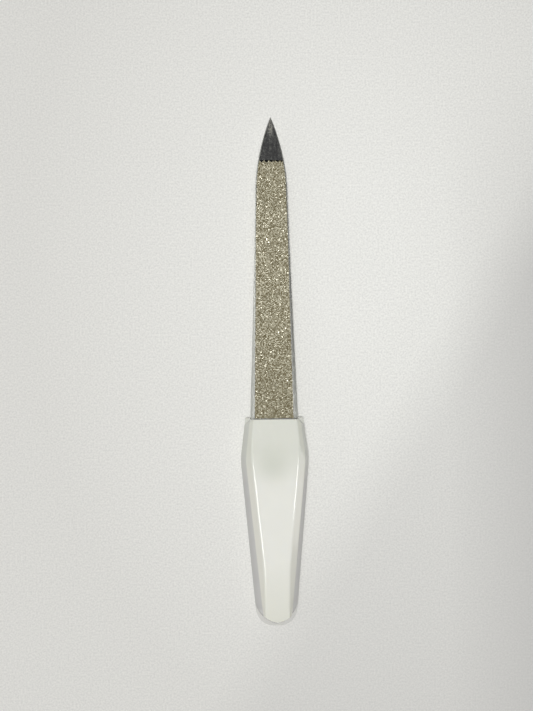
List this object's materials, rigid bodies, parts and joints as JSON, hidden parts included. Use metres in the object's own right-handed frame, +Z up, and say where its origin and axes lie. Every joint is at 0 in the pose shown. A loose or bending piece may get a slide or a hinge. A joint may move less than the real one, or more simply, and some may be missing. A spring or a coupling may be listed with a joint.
{
  "type": "diamond nail file",
  "caption": "Flat pointed steel nail file with diamond grit on both faces and a faceted white plastic handle.",
  "frame": {"origin": "centre of the bounding box in plan, on the surface that the file lies on", "axes": "+Y along the file towards the tip, +Z up out of the front face, +X across the width to the right"},
  "size_m": [0.0174, 0.13, 0.0052],
  "materials": {
    "blade_steel": "polished, with fine lengthwise grinding marks",
    "front_grit": "diamond grains in a warm grey nickel plate, rough and sparkling",
    "back_grit": "diamond grains in a warm grey nickel plate, finer than the front",
    "handle_plastic": "glossy milky white moulding"
  },
  "bodies": {
    "root": {"blade": "blade_steel", "grit_front": "front_grit", "grit_back": "back_grit", "handle": "handle_plastic"}
  },
  "joints": []
}
